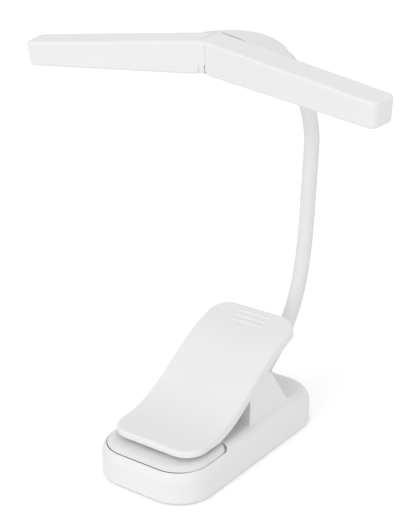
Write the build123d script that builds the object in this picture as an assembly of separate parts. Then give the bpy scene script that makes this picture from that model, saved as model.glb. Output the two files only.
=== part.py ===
from build123d import *
import math
import os

# A clip-on rechargeable reading light, in millimetres.
# +Z is up, -Y is the jaw end, +Y is the handle and neck end, and the origin is
# under the middle of the base, on the surface that the light stands on.

# Base housing
base_width = 57.0
base_length = 110.7
base_top = 17.3
base_lift = 0.6
base_corner = 17.4
base_round = 6.6
base_foot_round = 1.0
wall = 2.0
front_ceiling = 12.8
ceiling_step_y = -20.0

# Bottom cover, its screws and the non-slip pad
cover_thickness = 2.4
cover_gap = 0.1
pad_thickness = 1.0
pad_inset = 5.0
boss_radius = 2.8
boss_x = 21.0
boss_y = 41.0
screw_radius = 1.1
screw_head_radius = 2.0
screw_head_height = 1.2
screw_length = 7.0

# Jaw pads
jaw_inset = 2.4
jaw_pad_floor = 14.9
jaw_pad_rear = -21.0
jaw_groove = 0.45
jaw_gap = 0.3
upper_pad_front = 5.0
upper_pad_length = 14.4
upper_pad_width = 37.0
upper_pad_inset = 4.2
upper_pad_lip_gap = 0.05
pad_corner = 6.0

# Pivot post, pin and spring
pivot_y = 11.5
pivot_z = 28.0
post_radius = 10.5
post_width = 44.4
post_rear_slope = 54.8
post_flare = 2.4
cheek = 3.0
trough_clearance = 0.1
pin_radius = 1.5
pin_clearance = 0.05
pin_left_recess = 0.3
pin_right_skin = 1.6
spring_wire = 1.2
spring_radius = 3.4
spring_pitch = 1.7
spring_turns = 5
spring_seat_gap = 0.15

# Clip lever: its top line is a run, a hollow bend, a run, a crowned bend and a run
lever_width = 47.0
lever_front_y = -45.7
lever_front_z = 22.4
lever_start_angle = 2.0
lever_front_run = 9.7
lever_hollow_radius = 54.5
lever_slope = 32.0
lever_middle_run = 24.8
lever_crown_radius = 63.4
lever_handle_angle = 18.0
lever_handle_run = 15.0
lever_skirt = 4.8
lever_plate = 2.0
lever_front_lip = 2.9
lever_corner = 10.0
lever_edge_round = 1.5
lever_notch_clearance = 0.3
ear_thickness = 3.5
ear_radius = 5.0
ear_side_gap = 0.3
bush_radius = 3.0
grip_rib_width = 1.2
grip_rib_length = 19.0
grip_rib_height = 0.35
grip_rib_pitch = 3.4
grip_rib_inset = 4.2

# Battery, board, inlet and buttons
battery_size = (30.0, 46.0, 6.4)
battery_y = -22.0
board_size = (36.0, 40.0, 1.2)
board_y = 28.0
board_z = 5.4
board_tab = 6.0
board_tab_y = (8.0, 32.0)
inlet_width = 8.94
inlet_height = 3.2
inlet_depth = 7.4
inlet_shell = 0.35
inlet_tongue = (6.6, 5.2, 0.7)
switch_size = (3.4, 6.0, 3.4)
switch_plunger = (0.8, 0.7)
button_y = (12.0, 26.0)
button_z = 7.4
button_length = 9.0
button_height = 4.6
button_proud = 0.6
button_travel = 0.5
button_side_gap = 0.15
button_flange = 0.9
button_flange_thickness = 1.0
button_stem_radius = 1.2
light_pipe_radius = 0.9
light_pipe_x = 8.2
light_pipe_z = 7.6

# Gooseneck: its centre line in the plane of symmetry, as runs and arcs
neck_radius = 3.75
neck_start = (42.0, 18.0)
neck_start_angle = 36.0
neck_root_run = 15.1
neck_root_bend = (60.0, 39.0)
neck_lower_bend = (150.0, 11.0)
neck_middle_run = 35.5
neck_shoulder_bend = (42.0, 26.0)
neck_upper_run = 6.2
neck_top_bend = (57.5, 46.0)
root_hinge_run = 7.5
middle_hinge_run = 10.0
ball_clearance = 0.3
cup_rim = 2.0
collar_radius = 5.4
collar_flange_radius = 6.4
collar_proud = 2.2
anchor_radius = 6.0
anchor_length = 6.5

# Head: the frame of the hub and the wings, tipped so that its front is lower
head_y = -5.9
head_z = 186.2
head_pitch = 5.3
wing_length = 90.2
wing_depth = 13.6
wing_root_thickness = 14.8
wing_tip_thickness = 11.0
wing_sweep = 8.0
wing_droop = 4.5
wing_wall = 1.4
wing_top_wall = 1.6
wing_tip_round = 3.4
wing_edge_round = 1.2
wing_tip_wall = 2.4
spine_width = 2.2
spine_recess = 0.2
seam_gap = 0.2
hinge_offset = 3.0
hinge_pin_radius = 1.5
hinge_pin_front = 3.0
hinge_pin_grip = 9.0
hinge_boss_radius = 2.8
hub_front = 14.3
washer_thickness = 0.5
washer_gap = 0.15
lens_start = 10.0
lens_thickness = 1.3
lens_recess = 0.25
lens_gap = 0.08
light_board_thickness = 1.0
light_board_gap = 0.5
led_count = 8
led_size = (3.0, 3.2, 0.9)

# Hub: round in plan, its top part of an ellipsoid that falls away to the rear
hub_radius = 25.0
hub_centre = 24.3
hub_dome = (32.2, 77.4, 26.3)
hub_dome_centre = (-20.0, -16.3)
hub_bottom = -12.5
hub_wall = 1.8
hub_rim_round = 2.2
hub_parting = -1.0
hub_swing_gap = 0.22
hub_boss = (15.5, 27.0)
hub_boss_radius = 2.7
hub_screw_length = 9.0
hub_socket_radius = 5.2
hub_socket_length = 11.0


def box(x0, x1, y0, y1, z0, z1):
    """A box between two corners."""
    centre = ((x0 + x1) / 2, (y0 + y1) / 2, (z0 + z1) / 2)
    return Pos(*centre) * Box(x1 - x0, y1 - y0, z1 - z0)


def rod(start, direction, radius, length):
    """A round bar from a point along a direction."""
    place = Plane(origin=start, z_dir=direction)
    return place.location * Cylinder(radius, length, align=(Align.CENTER, Align.CENTER, Align.MIN))


def slab(width, length, corner, z0, z1):
    """A plate with round corners in plan, centred on the origin."""
    return Pos(0, 0, z0) * extrude(RectangleRounded(width, length, corner), z1 - z0)


def side_plate(outline, x0, x1):
    """A plate cut to an outline drawn in Y and Z, from x0 to x1."""
    return Pos(x0, 0, 0) * extrude(Plane.YZ * outline, x1 - x0)


def pill(length, height, x0, x1, y, z):
    """A bar along X with a pill-shaped section, long in Y."""
    return side_plate(Pos(y, z) * SlotOverall(length, height), x0, x1)


def ring_edges(solid, z):
    """The edges that lie level at height z."""
    return [e for e in solid.edges() if abs(e.bounding_box().min.Z - z) < 1e-4
            and abs(e.bounding_box().max.Z - z) < 1e-4]


# The base

def base_form(inset, bottom, top, edge):
    """The outer form of the base, or the same form drawn in by an inset."""
    form = slab(base_width - 2 * inset, base_length - 2 * inset, base_corner - inset, bottom, top)
    return fillet(ring_edges(form, top), edge)


def post_outline():
    """The pivot post from the side: upright front, round top, sloping rear."""
    slope = math.radians(post_rear_slope)
    centre = (pivot_y, pivot_z)
    tangent = (pivot_y + post_radius * math.sin(slope), pivot_z + post_radius * math.cos(slope))
    foot_z = base_top - wall
    foot_y = tangent[0] + (tangent[1] - foot_z) / math.tan(slope)
    block = Polygon(
        (pivot_y - post_radius, foot_z),
        (foot_y, foot_z),
        tangent,
        centre,
        (pivot_y - post_radius, pivot_z),
        align=None,
    )
    return block + Pos(*centre) * Circle(post_radius)


def post_joint(solid):
    """The edges where the post rises out of the base's top."""
    found = []
    for e in solid.edges():
        edge = e.bounding_box()
        if abs(e.center().X) <= post_width / 2 + 0.01 and edge.min.Z > base_top - 1 \
                and edge.max.Z < base_top + 0.01 and -1 < e.center().Y < 36:
            found.append(e)
    return found


def pivot_rod(radius, x0, x1):
    """A bar on the lever's pivot axis."""
    return rod((x0, pivot_y, pivot_z), (1, 0, 0), radius, x1 - x0)


def jaw_pad_form(inset, bottom):
    """What the lower jaw pad takes up, following the base's rounded edge."""
    outline = slab(base_width - 2 * inset, base_length - 2 * inset, base_corner - inset, bottom, base_top + 1)
    front = outline & box(-base_width, base_width, -base_length, jaw_pad_rear + jaw_inset - inset, 0, 40)
    corners = [e for e in front.edges() if abs(e.center().Y - (jaw_pad_rear + jaw_inset - inset)) < 1e-3
               and e.bounding_box().size.Z > 1 and e.bounding_box().size.X < 1e-3]
    return fillet(corners, pad_corner - inset)


def boss_places():
    """Where the four cover screws stand."""
    return [(x, y) for x in (-boss_x, boss_x) for y in (-boss_y, boss_y)]


def cover_top():
    return base_lift + cover_thickness


def button_hole(y, grow):
    """The hole in the left wall for one button."""
    return pill(button_length + 2 * grow, button_height + 2 * grow,
                -base_width / 2 - 1, -base_width / 2 + wall + 1, y, button_z)


def inlet_z():
    """The height of the inlet's centre, standing on the board."""
    return board_z + board_size[2] + inlet_height / 2


def inlet_bar(grow, y0, y1):
    """A bar along Y with the inlet's pill-shaped section."""
    outline = Pos(0, inlet_z()) * SlotOverall(inlet_width + 2 * grow, inlet_height + 2 * grow)
    return Pos(0, y1, 0) * extrude(Plane.XZ * outline, y1 - y0)


def base_shell():
    """The upper housing with its pivot post, open below."""
    outer = base_form(0, base_lift, base_top, base_round)
    outer = fillet(ring_edges(outer, base_lift), base_foot_round)
    post = side_plate(post_outline(), -post_width / 2, post_width / 2)
    outer = outer + post
    outer = fillet(post_joint(outer), post_flare)
    cavity = base_form(wall, base_lift - 1, base_top - wall, base_round - wall)
    cavity = cavity - box(-40, 40, -80, ceiling_step_y, front_ceiling, 30)
    shell = outer - cavity
    shell = shell - jaw_pad_form(jaw_inset - jaw_groove, jaw_pad_floor)
    trough = pivot_rod(post_radius + trough_clearance, cheek - post_width / 2, post_width / 2 - cheek)
    shell = shell - trough
    shell = shell - pivot_rod(pin_radius, -post_width / 2 - 1, post_width / 2 - pin_right_skin)
    for x, y in boss_places():
        ceiling = front_ceiling if y < 0 else base_top - wall
        boss = rod((x, y, cover_top()), (0, 0, 1), boss_radius, ceiling - cover_top() + 0.5)
        shell = shell + boss
        shell = shell - rod((x, y, cover_top()), (0, 0, 1), screw_radius, screw_length)
    for y in button_y:
        shell = shell - button_hole(y, button_side_gap)
    shell = shell - inlet_bar(0.1, base_length / 2 - 4, base_length / 2 + 4)
    shell = shell - light_pipe(0)
    shell = shell - neck_bar(collar_radius, -12, 12) + anchor_seat()
    shell = shell - neck_bar(collar_radius, -4, 12) - neck_bar(anchor_radius, -anchor_length - 4, -4)
    return shell


def base_cover():
    """The plate that closes the base from below."""
    inset = wall + cover_gap
    plate = slab(base_width - 2 * inset, base_length - 2 * inset, base_corner - inset,
                 base_lift, cover_top())
    recess = base_pad_form(0, pad_thickness)
    plate = plate - recess
    for x, y in boss_places():
        plate = plate - rod((x, y, -1), (0, 0, 1), screw_head_radius, 1 + pad_thickness + screw_head_height)
        plate = plate - rod((x, y, 0), (0, 0, 1), screw_radius, cover_top() + 1)
    for y in (battery_y - battery_size[1] / 2 - 1, battery_y + battery_size[1] / 2 + 1):
        plate = plate + box(-10, 10, y - 0.9, y + 0.9, cover_top() - 0.5, cover_top() + 3)
    for x in (-14, 14):
        for y in (board_y - 14, board_y + 12):
            plate = plate + rod((x, y, cover_top() - 0.5), (0, 0, 1), 1.8, board_z - cover_top() + 0.5)
    return plate


def base_pad_form(z0, z1):
    return slab(base_width - 2 * pad_inset, base_length - 2 * pad_inset, base_corner - pad_inset, z0, z1)


def base_pad():
    """The silicone sheet that the light stands on."""
    return base_pad_form(0, pad_thickness)


def base_screws():
    """Four screws that hold the cover to the housing."""
    screws = []
    for x, y in boss_places():
        head = rod((x, y, pad_thickness), (0, 0, 1), screw_head_radius, screw_head_height)
        shank = rod((x, y, pad_thickness), (0, 0, 1), screw_radius,
                    cover_top() - pad_thickness + screw_length - 1)
        screws.append(head + shank)
    return Compound(children=screws)


def lower_jaw_pad():
    """The silicone pad let into the base's front, flush with its rounded edge."""
    outer = base_form(0, base_lift, base_top, base_round)
    return jaw_pad_form(jaw_inset, jaw_pad_floor) & outer


def pivot_pin():
    """The steel pin that the lever turns on, pushed in from the left."""
    return pivot_rod(pin_radius, pin_left_recess - post_width / 2, post_width / 2 - pin_right_skin)


# The torsion spring

def biarc(p0, t0, p1, t1):
    """Two arcs in space that join two points along two given directions."""
    v = p1 - p0
    t = t0 + t1
    spread = 2 * (1 - t0.dot(t1))
    d = (-v.dot(t) + math.sqrt(v.dot(t) ** 2 + spread * v.dot(v))) / spread
    q0 = p0 + t0 * d
    q1 = p1 - t1 * d
    middle = (q0 + q1) * 0.5
    heading = (q1 - q0).normalized()
    return [TangentArc(p0, middle, tangent=t0), TangentArc(middle, p1, tangent=heading)]


def coil_point(angle):
    """A point on the spring's centre line and its heading there."""
    x = spring_pitch * (angle / (2 * math.pi) - spring_turns / 2)
    point = Vector(x, pivot_y + spring_radius * math.cos(angle), pivot_z + spring_radius * math.sin(angle))
    heading = Vector(spring_pitch / (2 * math.pi),
                     -spring_radius * math.sin(angle), spring_radius * math.cos(angle))
    return point, heading.normalized()


def clip_spring():
    """A torsion spring on the pin: one leg on the post, one under the lever."""
    start = -math.pi / 4
    quarter = math.pi / 2
    stations = [start, 0.0] + [quarter * (i + 1) for i in range(4 * spring_turns)]
    seat = post_radius + trough_clearance - spring_wire / 2 - spring_seat_gap
    low_leg = math.sqrt(seat ** 2 - spring_radius ** 2)
    under = lever_pivot_distance() - lever_plate - spring_wire / 2 - spring_seat_gap
    slope = math.radians(lever_slope)
    high_leg = (under + spring_radius * math.sin(slope)) / math.cos(slope)
    p, t = coil_point(stations[0])
    level = Vector(0, t.Y, t.Z).normalized()
    edges = [Line(p - level * low_leg, p)]
    headings = [level] + [coil_point(a)[1] for a in stations[1:-1]]
    points = [coil_point(a)[0] for a in stations]
    up = Vector(0, 0, 1)
    headings.append(up)
    for i in range(len(points) - 1):
        edges += biarc(points[i], headings[i], points[i + 1], headings[i + 1])
    edges.append(Line(points[-1], points[-1] + up * high_leg))
    path = Wire(edges)
    print("spring gap to itself", round(coil_gap(points, headings), 2))
    section = Plane(origin=edges[0] @ 0, z_dir=edges[0] % 0) * Circle(spring_wire / 2)
    return sweep(section, path=path)


def coil_gap(points, headings):
    """The least gap between turns, measured on points along the coil."""
    samples = [coil_point(-math.pi / 4 + i * math.pi / 18)[0] for i in range(36 * spring_turns)]
    least = 1000.0
    for i, a in enumerate(samples):
        for b in samples[i + 18:]:
            least = min(least, (a - b).length)
    return least - spring_wire


# The clip lever

def lever_line(depth):
    """The lever's top line, or the same line at a depth below it, in Y and Z."""
    angle = math.radians(lever_start_angle)
    start = Vector(lever_front_y + depth * math.sin(angle), lever_front_z - depth * math.cos(angle))
    heading = Vector(math.cos(angle), math.sin(angle))
    first = Line(start, start + heading * lever_front_run)
    hollow = JernArc(first @ 1, first % 1, lever_hollow_radius + depth, lever_slope - lever_start_angle)
    middle = Line(hollow @ 1, hollow @ 1 + (hollow % 1) * lever_middle_run)
    crown = JernArc(middle @ 1, middle % 1, lever_crown_radius - depth, lever_handle_angle - lever_slope)
    handle = Line(crown @ 1, crown @ 1 + (crown % 1) * lever_handle_run)
    return [first, hollow, middle, crown, handle]


def lever_face(top, bottom):
    """The face between the lever's line at two depths."""
    upper = lever_line(top)
    lower = lever_line(bottom)
    ends = [Line(upper[0] @ 0, lower[0] @ 0), Line(upper[-1] @ 1, lower[-1] @ 1)]
    return make_face(upper + lower + ends)


def lever_pivot_distance():
    """How far the lever's sloping top is from the pivot axis, square to it."""
    middle = lever_line(0)[2]
    heading = middle % 0
    across = Vector(pivot_y, pivot_z) - (middle @ 0)
    return abs(heading.X * across.Y - heading.Y * across.X)


def lever_end():
    """Where the lever's top line ends, at the handle."""
    return lever_line(0)[-1] @ 1


def lever_bar(top, bottom, inset, corner):
    """A bar with the lever's line, drawn in at its sides and ends by an inset."""
    face = lever_face(top, bottom)
    bar = side_plate(face, inset - lever_width / 2, lever_width / 2 - inset)
    if inset:
        tail = lever_end()
        heading = lever_line(0)[-1] % 1
        cut = Vector(0, heading.X, heading.Y)
        stop = Plane(origin=(0, tail.X - heading.X * inset, tail.Y - heading.Y * inset), z_dir=cut)
        bar = split(bar, bisect_by=stop, keep=Keep.BOTTOM)
        bar = bar - box(-40, 40, -80, lever_front_y + inset, 0, 60)
    edges = [e for e in bar.edges() if e.bounding_box().size.X < 1e-4 and e.length < bottom - top + 1.5
             and (e.center().Y < lever_front_y + inset + 2 or e.center().Y > lever_end().X - inset - 6)]
    return fillet(edges, corner)


def top_rim(solid):
    """The edges round a solid's upward faces."""
    seen = {}
    for face in solid.faces():
        if face.normal_at().Z > 0.6:
            for e in face.edges():
                c = e.center()
                key = (round(c.X, 3), round(c.Y, 3), round(c.Z, 3))
                seen.setdefault(key, []).append(e)
    return [found[0] for found in seen.values() if len(found) == 1]


def lever_ear(x0):
    """One ear that carries the lever on the pin."""
    slope = math.radians(lever_slope)
    along = Vector(math.cos(slope), math.sin(slope)) * ear_radius
    rise = Vector(-math.sin(slope), math.cos(slope)) * (lever_pivot_distance() - lever_plate / 2)
    centre = Vector(pivot_y, pivot_z)
    web = Polygon(
        tuple(centre - along)[:2],
        tuple(centre + along)[:2],
        tuple(centre + along + rise)[:2],
        tuple(centre - along + rise)[:2],
        align=None,
    )
    outline = web + Pos(pivot_y, pivot_z) * Circle(ear_radius)
    return side_plate(outline, x0, x0 + ear_thickness)


def ear_starts():
    """The lower X of the left ear and of the right ear."""
    inner = post_width / 2 - cheek - ear_side_gap
    return (-inner, inner - ear_thickness)


def clip_lever():
    """The long curved lever, a thin plate with skirts and two ears."""
    outer = lever_bar(0, lever_skirt, 0, lever_corner)
    outer = fillet(top_rim(outer), lever_edge_round)
    inner = lever_bar(lever_plate, lever_skirt + 3, lever_plate, lever_corner - lever_plate)
    lever = outer - inner
    lever = lever - pivot_rod(post_radius + lever_notch_clearance, -lever_width, lever_width)
    for x0 in ear_starts():
        lever = lever + lever_ear(x0)
    lever = lever - pivot_rod(bush_radius, -lever_width, lever_width)
    for i in range(3):
        lever = lever + grip_rib(grip_rib_inset + i * grip_rib_pitch)
    return lever - box(-lever_width, lever_width, lever_front_y - 5, -lever_corner, 0, lip_height())


def lip_height():
    """How high the lever's lower edge is over the jaw pads."""
    return lever_front_z - lever_front_lip


def grip_rib(back):
    """A low round rib across the handle, at a distance from its end."""
    tail = lever_end()
    heading = lever_line(0)[-1] % 1
    y = tail.X - heading.X * back
    z = tail.Y - heading.Y * back
    radius = grip_rib_width
    drop = radius - grip_rib_height
    centre = (-grip_rib_length / 2, y + drop * heading.Y, z - drop * heading.X)
    rib = rod(centre, (1, 0, 0), radius, grip_rib_length)
    return fillet(rib.edges().filter_by(GeomType.CIRCLE), 0.3)


def upper_jaw_pad():
    """The silicone pad under the lever's front: a block in its hollow, on a wide flange."""
    low = base_top + jaw_gap
    high = lever_front_z - lever_plate - 0.1
    front = lever_front_y + upper_pad_front
    rear = front + upper_pad_length
    block = box(-upper_pad_width / 2, upper_pad_width / 2, front, rear, low, high)
    block = fillet(block.edges().filter_by(Axis.Z), pad_corner)
    half = lever_width / 2 - upper_pad_inset
    edge = lever_front_y + upper_pad_inset
    flange = box(-half, half, edge, rear, low, lip_height() - upper_pad_lip_gap)
    return block + fillet(flange.edges().filter_by(Axis.Z), lever_corner - upper_pad_inset)


def lever_bushes():
    """The two plain bushes between the ears and the pin."""
    bushes = []
    for x0 in ear_starts():
        bush = pivot_rod(bush_radius, x0, x0 + ear_thickness)
        bushes.append(bush - pivot_rod(pin_radius + pin_clearance, -lever_width, lever_width))
    return Compound(children=bushes)


# Battery, board, inlet and buttons

def battery_cell():
    """The flat lithium cell."""
    x, y, z = battery_size
    cell = box(-x / 2, x / 2, battery_y - y / 2, battery_y + y / 2, cover_top() + 0.1, cover_top() + 0.1 + z)
    return fillet(cell.edges().filter_by(Axis.Y), 2.0)


def circuit_board():
    """The board with the charger, switches and inlet, with a tab to the buttons."""
    x, y, z = board_size
    board = box(-x / 2, x / 2, board_y - y / 2, board_y + y / 2, board_z, board_z + z)
    tab = box(-x / 2 - board_tab, 0, board_tab_y[0], board_tab_y[1], board_z, board_z + z)
    return board + tab


def usb_c_socket():
    """The steel inlet shell with its tongue."""
    rear = base_length / 2
    shell = inlet_bar(0, rear - inlet_depth, rear)
    shell = shell - inlet_bar(-inlet_shell, rear - inlet_depth + 0.8, rear + 1)
    x, y, z = inlet_tongue
    tongue = box(-x / 2, x / 2, rear - inlet_depth + 0.6, rear - inlet_depth + 0.8 + y,
                 inlet_z() - z / 2, inlet_z() + z / 2)
    return shell + tongue


def switch_x():
    """The outer X of the switches, at the edge of the board's tab."""
    return -board_size[0] / 2 - board_tab + 0.4


def button_switches():
    """Two side-push switches on the board's tab."""
    switches = []
    x, y, z = switch_size
    for place in button_y:
        top = board_z + board_size[2]
        body = box(switch_x(), switch_x() + x, place - y / 2, place + y / 2, top, top + z)
        tip = rod((switch_x() + 0.1, place, button_z + 0.6), (-1, 0, 0), switch_plunger[0],
                  switch_plunger[1] + 0.1)
        switches.append(body + tip)
    return Compound(children=switches)


def light_button(y):
    """A pill-shaped push button with a flange behind the wall and a stem."""
    outside = -base_width / 2 - button_proud
    inside = -base_width / 2 + wall
    cap = pill(button_length, button_height, outside, inside + 0.4, y, button_z)
    face = [e for e in cap.edges() if abs(e.center().X - outside) < 1e-3]
    cap = fillet(face, 0.4)
    flange = pill(button_length + 2 * button_flange, button_height + 2 * button_flange,
                  inside + 0.3, inside + 0.3 + button_flange_thickness, y, button_z)
    stop = switch_x() - switch_plunger[1] - button_travel - 0.25
    stem = rod((inside, y, button_z + 0.6), (1, 0, 0), button_stem_radius, stop - inside)
    return cap + flange + stem


def light_pipe(grow):
    """The clear pin that shows the charging light beside the inlet."""
    return rod((light_pipe_x, base_length / 2 - 4.2, light_pipe_z), (0, 1, 0),
               light_pipe_radius + grow, 4.2)


# The gooseneck

def neck_runs():
    """The neck's centre line in Y and Z, piece by piece from the base."""
    angle = math.radians(neck_start_angle)
    start = Vector(*neck_start)
    root = Line(start, start + Vector(math.cos(angle), math.sin(angle)) * neck_root_run)
    rise = JernArc(root @ 1, root % 1, *neck_root_bend)
    lower = JernArc(rise @ 1, rise % 1, *neck_lower_bend)
    middle = Line(lower @ 1, lower @ 1 + (lower % 1) * neck_middle_run)
    shoulder = JernArc(middle @ 1, middle % 1, *neck_shoulder_bend)
    upper = Line(shoulder @ 1, shoulder @ 1 + (shoulder % 1) * neck_upper_run)
    top = JernArc(upper @ 1, upper % 1, *neck_top_bend)
    return root, rise, lower, middle, shoulder, upper, top


def space(v):
    """A point or heading in the plane of symmetry, as one in space."""
    return Vector(0, v.X, v.Y)


def neck_station(name):
    """The point and the heading of the neck's centre line at a named hinge."""
    root, rise, lower, middle, shoulder, upper, top = neck_runs()
    places = {
        "start": (root @ 0, root % 0),
        "root": (root @ 0 + (root % 0) * root_hinge_run, root % 0),
        "middle": (middle @ 0 + (middle % 0) * middle_hinge_run, middle % 0),
        "upper": (upper @ 0.5, upper % 0.5),
        "hub": (top @ 1, top % 1),
    }
    point, heading = places[name]
    return space(point), space(heading)


def neck_bar(radius, back, ahead):
    """A straight bar on the neck's axis where it leaves the base."""
    point, heading = neck_station("start")
    return rod(tuple(point + heading * back), tuple(heading), radius, ahead - back)


def ball(name, radius):
    """A ball at a hinge of the neck."""
    point, heading = neck_station(name)
    return Pos(*point) * Sphere(radius)


def cup(name):
    """The space that the piece below takes inside the piece above a hinge."""
    return ball(name, neck_radius + ball_clearance)


def neck_tube(name, runs, start_name, end_name):
    """One length of the neck: cupped at its lower end and round at its upper end."""
    start, start_heading = neck_station(start_name)
    rim = start + start_heading * cup_rim
    path = Wire(runs)
    section = Plane(origin=path @ 0, z_dir=path % 0) * Circle(neck_radius)
    tube = sweep(section, path=path)
    low = Plane(origin=rim, z_dir=start_heading)
    tube = split(tube, bisect_by=low, keep=Keep.TOP)
    end, end_heading = neck_station(end_name)
    tube = tube + ball(end_name, neck_radius)
    tube = tube - cup(start_name)
    length = sum(run.length for run in runs)
    print(name, "length", round(length, 1), "volume", round(tube.volume, 1))
    return tube


def line_3d(curve):
    """A planar run or arc of the neck, stood up in the plane of symmetry."""
    return Plane.YZ * curve


def neck_lower():
    """From the base to the side-bending point."""
    root, rise, lower, middle, shoulder, upper, top = neck_runs()
    point = root @ 0 + (root % 0) * root_hinge_run
    turn = middle @ 0 + (middle % 0) * middle_hinge_run
    runs = [Line(point, root @ 1), rise, lower, Line(middle @ 0, turn)]
    return neck_tube("neck_lower", [line_3d(r) for r in runs], "root", "middle")


def neck_middle():
    """From the side-bending point to the shoulder."""
    root, rise, lower, middle, shoulder, upper, top = neck_runs()
    turn = middle @ 0 + (middle % 0) * middle_hinge_run
    runs = [Line(turn, middle @ 1), shoulder, Line(upper @ 0, upper @ 0.5)]
    return neck_tube("neck_middle", [line_3d(r) for r in runs], "middle", "upper")


def neck_upper():
    """From the shoulder to the hub."""
    root, rise, lower, middle, shoulder, upper, top = neck_runs()
    runs = [Line(upper @ 0.5, upper @ 1), top]
    return neck_tube("neck_upper", [line_3d(r) for r in runs], "upper", "hub")


def anchor_seat():
    """The thickened wall inside the base that the neck's anchor screws against."""
    block = neck_bar(anchor_radius + 1.8, -anchor_length - 4, 3)
    inside = base_form(wall / 2, base_lift, base_top - wall / 2, base_round)
    return block & inside & box(-20, 20, 0, 60, board_z + board_size[2] + 0.4, base_top)


def neck_anchor():
    """The steel stub in the base that the gooseneck starts from."""
    stub = neck_bar(neck_radius, -4 - anchor_length, root_hinge_run) + ball("root", neck_radius)
    nut = neck_bar(anchor_radius, -4 - anchor_length, -4)
    return stub + nut


def neck_collar():
    """The soft collar round the neck where it leaves the base."""
    sleeve = neck_bar(collar_radius, -4, 3 + collar_proud)
    sleeve = sleeve - neck_bar(neck_radius, -6, 12)
    top = sleeve.edges().filter_by(GeomType.CIRCLE).sort_by(Axis.Z)[-2:]
    return fillet(max(top, key=lambda e: e.length), 0.8)


# The head

head = Plane(
    origin=(0, head_y, head_z),
    x_dir=(1, 0, 0),
    z_dir=(0, -math.sin(math.radians(head_pitch)), math.cos(math.radians(head_pitch))),
)
wing_frame = Rot(0, 0, -wing_sweep) * Rot(0, wing_droop, 0)
wing_start = spine_width / 2 + seam_gap
hinge_u = wing_start + hinge_offset


def hinge_height():
    """The height of the hinge axis: its offset above the wing's sloping underside."""
    taper = math.atan((wing_root_thickness - wing_tip_thickness) / 2 / wing_length)
    fall = math.radians(wing_droop) - taper
    turn = math.radians(wing_sweep)
    along = hinge_u * math.cos(turn) - wing_depth / 2 * math.sin(turn)
    under = wing_root_thickness / 2 * math.cos(taper) + along * math.sin(fall)
    return (hinge_offset - under) / math.cos(fall)


hinge_w = hinge_height()


def in_head(shape):
    """A shape drawn in the head's frame, put in its place."""
    return head.location * shape


def half_thickness(x):
    """Half the wing's thickness at a distance along it."""
    share = x / wing_length
    return (wing_root_thickness + (wing_tip_thickness - wing_root_thickness) * share) / 2


def wing_bar(x0, x1, y0, y1, low, high):
    """A bar that follows the wing's taper, in the wing's frame; low and high are offsets.

    A low of zero lies on the wing's underside and a high of zero on its top.
    """
    outline = Polygon(
        (x0, low - half_thickness(x0)),
        (x1, low - half_thickness(x1)),
        (x1, high + half_thickness(x1)),
        (x0, high + half_thickness(x0)),
        align=None,
    )
    return Pos(0, y1, 0) * extrude(Plane.XZ * outline, y1 - y0)


def underside_bar(x0, x1, y0, y1, low, high):
    """A bar whose two faces both follow the wing's underside."""
    outline = Polygon(
        (x0, low - half_thickness(x0)),
        (x1, low - half_thickness(x1)),
        (x1, high - half_thickness(x1)),
        (x0, high - half_thickness(x0)),
        align=None,
    )
    return Pos(0, y1, 0) * extrude(Plane.XZ * outline, y1 - y0)


def topside_bar(x0, x1, y0, y1, low, high):
    """A bar whose two faces both follow the wing's top."""
    return mirror(underside_bar(x0, x1, y0, y1, -high, -low), about=Plane.XY)


def hinge_rod(side, radius, v0, v1):
    """A bar on one wing's hinge axis, in the head's frame."""
    return rod((side * hinge_u, v0, hinge_w), (0, 1, 0), radius, v1 - v0)


def wing_form():
    """The outside of the right wing in the head's frame."""
    bar = wing_bar(-6, wing_length, 0, wing_depth, 0, 0)
    tip = [e for e in bar.edges().filter_by(Axis.Z) if e.center().X > wing_length - 1]
    bar = fillet(tip, wing_tip_round)
    bar = wing_frame * bar
    bar = bar - box(-40, wing_start, -40, 60, -40, 40)
    heel = [e for e in bar.edges() if abs(e.center().X - wing_start) < 1e-3 and e.center().Z < -5
            and e.bounding_box().size.Y > 10]
    bar = fillet(heel, hinge_offset - 0.1)
    rims = [e for e in bar.edges() if e.length > 60]
    return fillet(rims, wing_edge_round)


def wing_housing():
    """The wing's casing: a tray open below, solid round the hinge."""
    x1 = wing_length - wing_tip_wall
    pocket = wing_bar(lens_start, x1, wing_wall, wing_depth - wing_wall, -20, -wing_top_wall)
    pocket = fillet([e for e in pocket.edges().filter_by(Axis.Z)], 1.2)
    casing = wing_form() - wing_frame * pocket
    casing = casing + hinge_rod(1, hinge_boss_radius, 8, hub_front - washer_thickness)
    return casing - hinge_rod(1, hinge_pin_radius + pin_clearance, hinge_pin_front - 0.5, 40)


def wing_lens():
    """The frosted diffuser let into the wing's underside."""
    g = lens_gap
    x1 = wing_length - wing_tip_wall
    plate = underside_bar(lens_start + g, x1 - g, wing_wall + g, wing_depth - wing_wall - g,
                          lens_recess, lens_recess + lens_thickness)
    plate = fillet([e for e in plate.edges().filter_by(Axis.Z)], 1.1)
    return wing_frame * plate


def wing_light_board():
    """The strip of board that carries the lights, under the wing's top wall."""
    g = light_board_gap
    x1 = wing_length - wing_tip_wall
    top = -wing_top_wall
    plate = topside_bar(lens_start + g, x1 - g, wing_wall + g, wing_depth - wing_wall - g,
                        top - light_board_thickness, top)
    return wing_frame * plate


def wing_leds():
    """The row of lights on the board's underside."""
    first = lens_start + 6
    last = wing_length - wing_tip_wall - 6
    tilt = math.degrees(math.atan((wing_root_thickness - wing_tip_thickness) / 2 / wing_length))
    lights = []
    for i in range(led_count):
        x = first + (last - first) * i / (led_count - 1)
        z = half_thickness(x) - wing_top_wall - light_board_thickness
        light = Box(*led_size, align=(Align.CENTER, Align.CENTER, Align.MAX))
        lights.append(wing_frame * (Pos(x, wing_depth / 2, z) * (Rot(0, tilt, 0) * light)))
    return Compound(children=lights)


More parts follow.
